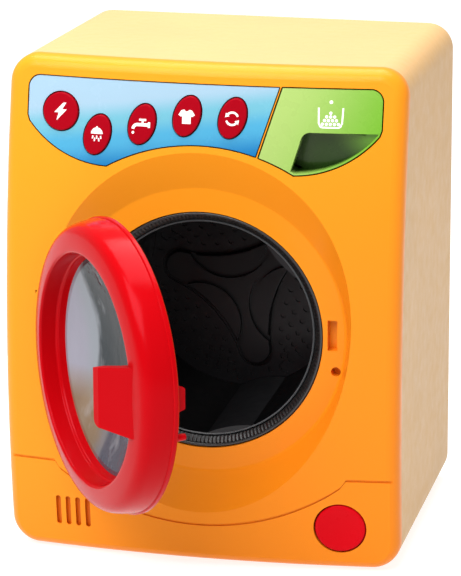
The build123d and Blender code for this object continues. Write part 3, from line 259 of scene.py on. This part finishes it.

# painted shade: the base colour darkens deep in the finger recess and in the narrow gaps round the inlays
shade(m_green, lambda nt: ramp_up(nt, depth_mm(nt), 1.2, 9.0), (0.03, 0.07, 0.005))


def painted_gap_shade_mask(nt):
    """1 deep in the gaps of the upper front, outside the dish, where shade is painted into the base colour."""
    tc = put(nt, "ShaderNodeTexCoord")
    s = put(nt, "ShaderNodeSeparateXYZ")
    nt.links.new(tc.outputs["Object"], s.inputs[0])
    x = math_node(nt, "MULTIPLY", s.outputs[0], 1000.0)
    z = math_node(nt, "MULTIPLY_ADD", s.outputs[2], 1000.0, -ZD)
    r = math_node(nt, "SQRT", math_node(nt, "ADD", math_node(nt, "MULTIPLY", x, x), math_node(nt, "MULTIPLY", z, z)))
    out = ramp_up(nt, r, 103.6, 104.4)
    high = ramp_up(nt, z, 88.0, 90.0)
    front = ramp_up(nt, math_node(nt, "MULTIPLY", s.outputs[1], -1.0), 0.03, 0.04)
    deep = ramp_up(nt, depth_mm(nt), 0.35, 1.0)
    high = math_node(nt, "MULTIPLY", high, ramp_up(nt, math_node(nt, "MULTIPLY", z, -1.0), -139.9, -139.3))
    side = ramp_up(nt, math_node(nt, "MULTIPLY", math_node(nt, "ABSOLUTE", x), -1.0), -102.5, -101.5)
    m = math_node(nt, "MULTIPLY", math_node(nt, "MULTIPLY", out, high), math_node(nt, "MULTIPLY", front, deep))
    return math_node(nt, "MULTIPLY", m, side)


def painted_slot_shade_mask(nt):
    """1 in the bottom of the sound slots, where shade is painted into the base colour."""
    tc = put(nt, "ShaderNodeTexCoord")
    s = put(nt, "ShaderNodeSeparateXYZ")
    nt.links.new(tc.outputs["Object"], s.inputs[0])
    m = math_node(nt, "MULTIPLY", ramp_up(nt, math_node(nt, "MULTIPLY", s.outputs[2], -1.0), -0.036, -0.035),
                  ramp_up(nt, s.outputs[2], 0.0135, 0.0145))
    m = math_node(nt, "MULTIPLY", m, ramp_up(nt, math_node(nt, "MULTIPLY", s.outputs[0], -1.0), 0.06, 0.061))
    m = math_node(nt, "MULTIPLY", m, ramp_up(nt, s.outputs[0], -0.093, -0.092))
    return math_node(nt, "MULTIPLY", m, ramp_up(nt, depth_mm(nt), 0.6, 1.6))


# painted shade: the base colour darkens deep in the gaps of the upper front
shade(m_orange, painted_gap_shade_mask, (0.12, 0.1, 0.1))
# painted shade: the base colour darkens on the floors of the sound slots
shade(m_orange, painted_slot_shade_mask, (0.72, 0.42, 0.2))
m_black = plastic("drum_black", lin(24, 24, 26), rough=0.34, coat=0.0, coat_rough=0.12, grain=0.03, mottle=0.1, spec=0.3)
m_drum = plastic("drum_wall_black", lin(6, 6, 7), rough=0.32, coat=0.0, coat_rough=0.15, grain=0.03, mottle=0.1, spec=0.22)


def by_depth(mat, y_mm, colour, width=0.15):
    """colour in front of the depth y_mm behind the front, the material's own colour behind it."""
    nt, b, col = base_input(mat)
    tc = put(nt, "ShaderNodeTexCoord")
    y = axis_value(nt, tc.outputs["Object"], "Y")
    f = ramp_up(nt, y, (Y0 + y_mm - width) / 1000, (Y0 + y_mm + width) / 1000)
    mx = put(nt, "ShaderNodeMix", data_type="RGBA")
    nt.links.new(f, mx.inputs[0])
    mx.inputs[6].default_value = (*colour, 1)
    nt.links.new(col, mx.inputs[7])
    nt.links.new(mx.outputs[2], b.inputs["Base Color"])
    return mat


# painted highlight: the drum's front rim, ahead of 24.3 mm, is painted light grey in place of the highlight on its
# rounded lip
by_depth(m_drum, 24.3, lin(84, 86, 88))
m_tub = plastic("tub_grey", lin(60, 60, 62), rough=0.5, coat=0.0, grain=0.05)
m_lip = plastic("lip_black", lin(15, 15, 16), rough=0.4, coat=0.05, coat_rough=0.15, grain=0.03, mottle=0.1)
# painted highlight: a lighter grey for the rounded fronts of the black lips
m_lip_painted_highlight = plastic("lip_painted_highlight", lin(46, 47, 48), rough=0.3, coat=0.1, coat_rough=0.1, grain=0.02, mottle=0.06)
m_white = plastic("inner_white", lin(225, 225, 222), rough=0.45, coat=0.0, grain=0.04)
m_rubber = plastic("rubber_dark", lin(35, 35, 36), rough=0.7, coat=0.0, grain=0.15, grain_scale=1500.0, mottle=0.1)
m_silicone = plastic("keypad_rubber", lin(205, 205, 208), rough=0.6, coat=0.0, grain=0.08)
m_board = plastic("board_green", lin(30, 96, 52), rough=0.4, coat=0.2, grain=0.08, mottle=0.15)
m_cell = plastic("cell_wrap", lin(60, 110, 75), rough=0.3, coat=0.3, grain=0.02)
m_paper = plastic("cone_paper", lin(48, 48, 50), rough=0.8, coat=0.0, grain=0.2, grain_scale=2500.0, mottle=0.1)
m_print = plastic("print_white", lin(244, 240, 240), rough=0.4, coat=0.2, grain=0.01, mottle=0.02)
m_steel = metal("steel_plain", (0.62, 0.62, 0.64), 0.3)
m_can = metal("motor_can", (0.55, 0.55, 0.57), 0.35)

# clear moulded bowl with painted reflections in its base colour: a light silvery grey towards the hinge, a dark slate
# towards the free side for the dark drum behind, a tan lower part for the orange casing behind, and bright painted
# reflection streaks
m_window, nt, b = nodes_of("window_clear")
tc = put(nt, "ShaderNodeTexCoord")
mp = put(nt, "ShaderNodeMapping")
mp.inputs["Scale"].default_value = (1.0, 1.0, 0.28)
nt.links.new(tc.outputs["Object"], mp.inputs["Vector"])
h = noise(nt, mp.outputs[0], 60.0, 4.0, 0.6)
h2 = noise(nt, tc.outputs["Object"], 190.0, 3.0, 0.6)
DOOR_TURN = radians(51.556)
across = linear_field(nt, cos(DOOR_TURN) * 26.0, -sin(DOOR_TURN) * 26.0, 0.0, -1.26)
wob = math_node(nt, "MULTIPLY_ADD", h, 0.5, -0.25)
band = put(nt, "ShaderNodeMath", operation="ADD", use_clamp=True)
nt.links.new(across, band.inputs[0])
nt.links.new(wob, band.inputs[1])
# upper part: painted reflection, light silvery grey towards the hinge and dark slate towards the free side
high_col = ramp(nt, band.outputs[0], [(0.0, (0.3, 0.3, 0.36)), (0.34, (0.26, 0.29, 0.32)), (0.5, (0.02, 0.028, 0.033)),
                                      (1.0, (0.008, 0.012, 0.015))], "EASE")
# lower part: painted tan for the orange casing behind the bowl, greying and darkening towards the free side
low_col = ramp(nt, band.outputs[0], [(0.0, (0.34, 0.22, 0.1)), (0.6, (0.36, 0.26, 0.16)), (0.85, (0.3, 0.29, 0.3)),
                                     (1.0, (0.13, 0.13, 0.17))], "EASE")
low = math_node(nt, "MULTIPLY", linear_field(nt, 0.0, 0.0, -55.0, 6.6), 0.8)
mxw = put(nt, "ShaderNodeMix", data_type="RGBA")
nt.links.new(low, mxw.inputs[0])
nt.links.new(high_col, mxw.inputs[6])
nt.links.new(low_col, mxw.inputs[7])
# painted reflection streaks: bright grey where the noise is high
painted_reflection_streak = ramp(nt, h, [(0.6, (0.0, 0.0, 0.0)), (0.72, (0.32, 0.32, 0.32))])
mxs = put(nt, "ShaderNodeMix", data_type="RGBA")
nt.links.new(painted_reflection_streak, mxs.inputs[0])
nt.links.new(mxw.outputs[2], mxs.inputs[6])
mxs.inputs[7].default_value = (0.55, 0.57, 0.6, 1)
nt.links.new(mxs.outputs[2], b.inputs["Base Color"])
haze = ramp(nt, h, [(0.3, (0.2, 0.2, 0.2)), (0.7, (0.1, 0.1, 0.1))])
clear = math_node(nt, "MULTIPLY_ADD", low, 0.35, haze)
nt.links.new(clear, b.inputs["Transmission Weight"])
b.inputs["Roughness"].default_value = 0.12
b.inputs["IOR"].default_value = 1.5
b.inputs["Specular IOR Level"].default_value = 0.2
b.inputs["Coat Weight"].default_value = 0.1
b.inputs["Coat Roughness"].default_value = 0.05
bp = put(nt, "ShaderNodeBump")
bp.inputs["Strength"].default_value = 0.35
bp.inputs["Distance"].default_value = 0.0016
nt.links.new(math_node(nt, "ADD", h, math_node(nt, "MULTIPLY", h2, 0.25)), bp.inputs["Height"])
nt.links.new(bp.outputs[0], b.inputs["Normal"])
nt.links.new(bp.outputs[0], b.inputs["Coat Normal"])

LOOK = {
    "front_casing": m_orange, "rear_shell": m_cream, "rubber_feet": m_rubber, "case_screws": m_steel,
    "battery_box": m_tub, "battery_cells": m_cell, "battery_contacts": m_steel, "battery_cover": m_cream,
    "battery_screw": m_steel, "control_panel": m_blue, "power_button": m_red_btn, "keypad": m_silicone,
    "control_board": m_board, "board_screws": m_steel, "foot_button": m_red_foot, "foot_spring": m_steel,
    "foot_switch": m_board, "switch_screws": m_steel, "speaker_frame": m_tub, "speaker_cone": m_paper,
    "speaker_magnet": m_steel, "mouth_ring": m_lip, "tub": m_tub, "tub_screws": m_steel, "shaft_bush": m_white,
    "drum_shell": m_drum, "drum_disc": m_black, "drum_lifters": m_black, "drum_shaft": m_steel,
    "drum_pulley": m_white, "pulley_screw": m_steel, "motor": m_can, "motor_screws": m_steel,
    "motor_shaft": m_steel, "motor_pulley": m_white, "drive_belt": m_rubber, "drawer_front": m_green,
    "drawer_tray": m_green, "drawer_housing": m_white, "housing_screws": m_steel, "hinge_pin": m_steel, "door_ring": m_red, "door_back": m_red, "door_window": m_window,
    "door_handle": m_red,
}
for i in range(1, 5):
    LOOK[f"program_button_{i}"] = m_red_btn
for name, o in N.items():
    o.data.materials.clear()
    o.data.materials.append(LOOK[name])

# ------------------------------------------------------------------
# Mouth ring: two thin lips with a band of fine radial ribs sloping between them
# ------------------------------------------------------------------
def turned_mesh(name, profile, segments, mats, slots, ribs=None):
    """Closed profile of (radius, depth behind the front) turned round the drum axis. slots gives the material of
    each profile side; ribs(i, j) lifts profile point j at segment i."""
    verts, faces, fm = [], [], []
    n = len(profile)
    for i in range(segments):
        t = 2 * pi * i / segments
        for j, (r, y) in enumerate(profile):
            lift = ribs(i, j) if ribs else 0.0
            verts.append((r * cos(t) / 1000, (Y0 + y - lift) / 1000, (ZD + r * sin(t)) / 1000))
    for i in range(segments):
        k = (i + 1) % segments
        for j in range(n):
            l = (j + 1) % n
            faces.append((i * n + j, k * n + j, k * n + l, i * n + l))
            fm.append(slots[j])
    me = bpy.data.meshes.new(name)
    me.from_pydata(verts, [], faces)
    for m in mats:
        me.materials.append(m)
    for f, m in zip(me.polygons, fm):
        f.material_index = m
        f.use_smooth = False
    bm = bmesh.new()
    bm.from_mesh(me)
    bmesh.ops.recalc_face_normals(bm, faces=bm.faces)
    for f in bm.faces:
        f.smooth = True
    bm.to_mesh(me)
    bm.free()
    me.set_sharp_from_angle(angle=radians(35))
    o = bpy.data.objects.new(name, me)
    scene.collection.objects.link(o)
    return o


lip_profile = [(65.55, 19.9), (65.7, 19.4), (66.0, 19.1), (66.4, 19.0), (66.8, 19.08), (67.15, 19.35), (67.4, 19.8),
               (67.4, 21.45), (69.0, 21.45), (69.0, 24.05), (64.6, 24.05), (64.6, 25.6), (62.4, 25.6), (62.4, 23.5),
               (62.9, 23.05), (65.2, 21.05), (65.55, 20.65)]
# the rounded front of the lip takes the painted highlight grey
lip_slots = [0] * len(lip_profile)
for j in (0, 1, 2, 3, 4, 5):
    lip_slots[j] = 1
mouth = turned_mesh("mouth_ring_ribbed", lip_profile, 720, [m_lip, m_lip_painted_highlight], lip_slots,
                    ribs=lambda i, j: 0.45 if j in (14, 15) and i % 4 in (0, 1) else 0.0)
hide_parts("mouth_ring")
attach(mouth, "body")

# ------------------------------------------------------------------
# Printed symbols: thin raised prints that follow the surface below
# ------------------------------------------------------------------
def print_piece(name, polys, cx, cz, body, shift, tilt=0.0, thick=0.06):
    """polys are closed outlines in mm about cx, cz; the print stands thick above the front surface moved by shift."""
    bm = bmesh.new()
    c, s = cos(radians(tilt)), sin(radians(tilt))
    for poly in polys:
        vs = []
        for u, v in poly:
            x, z = cx + u * c - v * s, cz + u * s + v * c
            vs.append(bm.verts.new((x / 1000, (yf(x, z, shift) - thick) / 1000, z / 1000)))
        f = bm.faces.new(vs)
        r = bmesh.ops.extrude_face_region(bm, geom=[f])
        for e in r["geom"]:
            if isinstance(e, bmesh.types.BMVert):
                e.co.y += (thick + 0.03) / 1000
    bmesh.ops.recalc_face_normals(bm, faces=bm.faces)
    bmesh.ops.triangulate(bm, faces=[f for f in bm.faces if len(f.verts) > 4])
    me = bpy.data.meshes.new(name)
    bm.to_mesh(me)
    bm.free()
    o = bpy.data.objects.new(name, me)
    scene.collection.objects.link(o)
    me.materials.append(m_print)
    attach(o, body)
    return o


def disc(x, z, r, n=20):
    return [(x + r * cos(2 * pi * i / n), z + r * sin(2 * pi * i / n)) for i in range(n)]


def stroke(points, w, closed=False):
    """Outline of a line of width w through points, with flat ends."""
    left, right = [], []
    n = len(points)
    for i, (x, z) in enumerate(points):
        a = points[max(i - 1, 0)]
        b = points[min(i + 1, n - 1)]
        d = hypot(b[0] - a[0], b[1] - a[1]) or 1
        nx, nz = -(b[1] - a[1]) / d, (b[0] - a[0]) / d
        left.append((x + nx * w / 2, z + nz * w / 2))
        right.append((x - nx * w / 2, z - nz * w / 2))
    return left + right[::-1]


def arc(cx, cz, r, a0, a1, n=16):
    return [(cx + r * cos(radians(a0 + (a1 - a0) * i / n)), cz + r * sin(radians(a0 + (a1 - a0) * i / n))) for i in range(n + 1)]


bolt = [[(1.6, 4.9), (-3.6, -0.5), (-0.9, -0.5), (-2.2, -4.9), (3.7, 1.3), (0.9, 1.2), (3.3, 4.9)]]
shower = [stroke(arc(0, 0.4, 3.3, 0, 180), 0.1)[:17] + [(-3.3, 0.2), (3.3, 0.2)],
          stroke([(0, 3.5), (0, 4.6)], 0.9)]
shower[0] = arc(0, 0.6, 3.4, 0, 180)
for i, x in enumerate((-2.2, 0, 2.2)):
    shower.append(stroke([(x, -0.4), (x * 1.12, -2.0)], 0.75))
for i, x in enumerate((-1.1, 1.1)):
    shower.append(stroke([(x, -1.6), (x * 1.2, -3.4)], 0.75))
tap = [stroke(arc(-2.2, -2.6, 2.6, 175, 95) + [(1.2, 0.0), (3.8, 0.0)], 1.7), [(3.6, -1.5), (4.9, -1.5), (4.9, 1.5), (3.6, 1.5)],
       stroke([(0.6, 0.6), (0.6, 2.3)], 1.1), stroke([(-1.4, 2.6), (2.6, 2.6)], 1.1), disc(-4.7, -4.3, 0.75)]
shirt = [[(-1.3, 3.7), (-3.0, 3.3), (-4.6, 0.9), (-3.0, -0.2), (-2.4, 0.5), (-2.4, -3.8), (2.4, -3.8), (2.4, 0.5),
          (3.0, -0.2), (4.6, 0.9), (3.0, 3.3), (1.3, 3.7), (0.8, 3.0), (0, 2.7), (-0.8, 3.0)]]
cycle = []
for a in (20, 200):
    cycle.append(stroke(arc(0, 0, 3.3, a, a + 118), 1.1))
    t = radians(a + 118)
    px, pz = 3.3 * cos(t), 3.3 * sin(t)
    tx, tz = -sin(t), cos(t)
    cycle.append([(px + cos(t) * 1.35, pz + sin(t) * 1.35), (px - cos(t) * 1.35, pz - sin(t) * 1.35), (px + tx * 2.1, pz + tz * 2.1)])

BT = -1.1
print_piece("print_power", bolt, POWER[0], POWER[1], "power_button", BT)
for i, shapes in enumerate((shower, tap, shirt, cycle)):
    k = i + 1
    print_piece(f"print_program_{k}", shapes, OVALS[i][0], OVALS[i][1], f"program_button_{k}", BT)

# powder tub with a pyramid of grains on the drawer front
tubs = [stroke([(-6.6, 5.2), (-6.3, -3.0)] + [(-5.9 + 1.6 * (1 - cos(radians(a))), -3.6 - 1.6 * sin(radians(a))) for a in (0, 30, 60, 90)]
               + [(4.3 + 1.6 * sin(radians(a)), -5.2 + 1.6 * (1 - cos(radians(a)))) for a in (0, 30, 60, 90)] + [(6.3, -3.0), (6.6, 5.2)], 0.9)]
for row in range(4):
    for k in range(row + 1 + (1 if row else 0)):
        n = row + 1 + (1 if row else 0)
        tubs.append(disc((k - (n - 1) / 2) * 2.15, 2.4 - row * 1.95, 0.86, 14))
tubs.append(disc(0, 8.2, 0.95, 16))
print_piece("print_drawer", tubs, 71.3, 255.8, "drawer", 0.15)

# ------------------------------------------------------------------
# Floor, light and camera
# ------------------------------------------------------------------
bm = bmesh.new()
R = 60.0
bmesh.ops.create_grid(bm, x_segments=8, y_segments=8, size=R)
me = bpy.data.meshes.new("floor")
bm.to_mesh(me)
bm.free()
floor = bpy.data.objects.new("floor", me)
scene.collection.objects.link(floor)
m_floor, nt, b = nodes_of("floor_pale")
tc = put(nt, "ShaderNodeTexCoord")
f = noise(nt, tc.outputs["Object"], 6.0, 2.0)
nt.links.new(ramp(nt, f, [(0.0, (0.34, 0.34, 0.34)), (1.0, (0.36, 0.36, 0.36))]), b.inputs["Base Color"])
b.inputs["Roughness"].default_value = 0.7
b.inputs["Emission Color"].default_value = (1, 1, 1, 1)
b.inputs["Emission Strength"].default_value = 0.8
me.materials.append(m_floor)

world = bpy.data.worlds.new("studio")
scene.world = world
world.use_nodes = True
wt = world.node_tree
wt.nodes.clear()
wo = wt.nodes.new("ShaderNodeOutputWorld")
bg = wt.nodes.new("ShaderNodeBackground")
bg.inputs["Color"].default_value = (1.0, 1.0, 1.0, 1)
bg.inputs["Strength"].default_value = 0.42
wt.links.new(bg.outputs[0], wo.inputs[0])


def softbox(name, loc, target, size, power, color=(1, 1, 1)):
    l = bpy.data.lights.new(name, "AREA")
    l.shape = "RECTANGLE"
    l.size, l.size_y = size
    l.energy = power
    l.color = color
    o = bpy.data.objects.new(name, l)
    scene.collection.objects.link(o)
    o.location = loc
    d = Vector(target) - Vector(loc)
    o.rotation_euler = d.to_track_quat("-Z", "Y").to_euler()
    return o


softbox("key", (-0.4, -1.35, 1.6), (0.0, -0.09, 0.15), (1.5, 1.2), 45)
softbox("top", (-0.1, 0.15, 1.5), (0, 0, 0.28), (1.2, 1.2), 27)

# camera: fitted to the photograph's edges
az, el, roll, dist = 13.607, 15.695, -0.281, 1822.089
tgt = Vector((20.284, 0.0 + Y0, 163.150))
a, e = radians(az), radians(el)
back = Vector((sin(a) * cos(e), -cos(a) * cos(e), sin(e)))
right = Vector((cos(a), sin(a), 0))
up = back.cross(right)
r0 = radians(roll)
R0 = right * cos(r0) + up * sin(r0)
U0 = -right * sin(r0) + up * cos(r0)
C = (tgt + back * dist) / 1000
cam = bpy.data.cameras.new("camera")
cam.sensor_fit = "AUTO"
cam.sensor_width = 36.0
cam.lens = 3357.182 / 576 * 36
cam.clip_start, cam.clip_end = 0.05, 20
co = bpy.data.objects.new("camera", cam)
scene.collection.objects.link(co)
co.matrix_world = Matrix(((R0.x, U0.x, back.x, C.x), (R0.y, U0.y, back.y, C.y), (R0.z, U0.z, back.z, C.z), (0, 0, 0, 1)))
scene.camera = co

scene.view_settings.view_transform = "Standard"
scene.view_settings.look = "None"
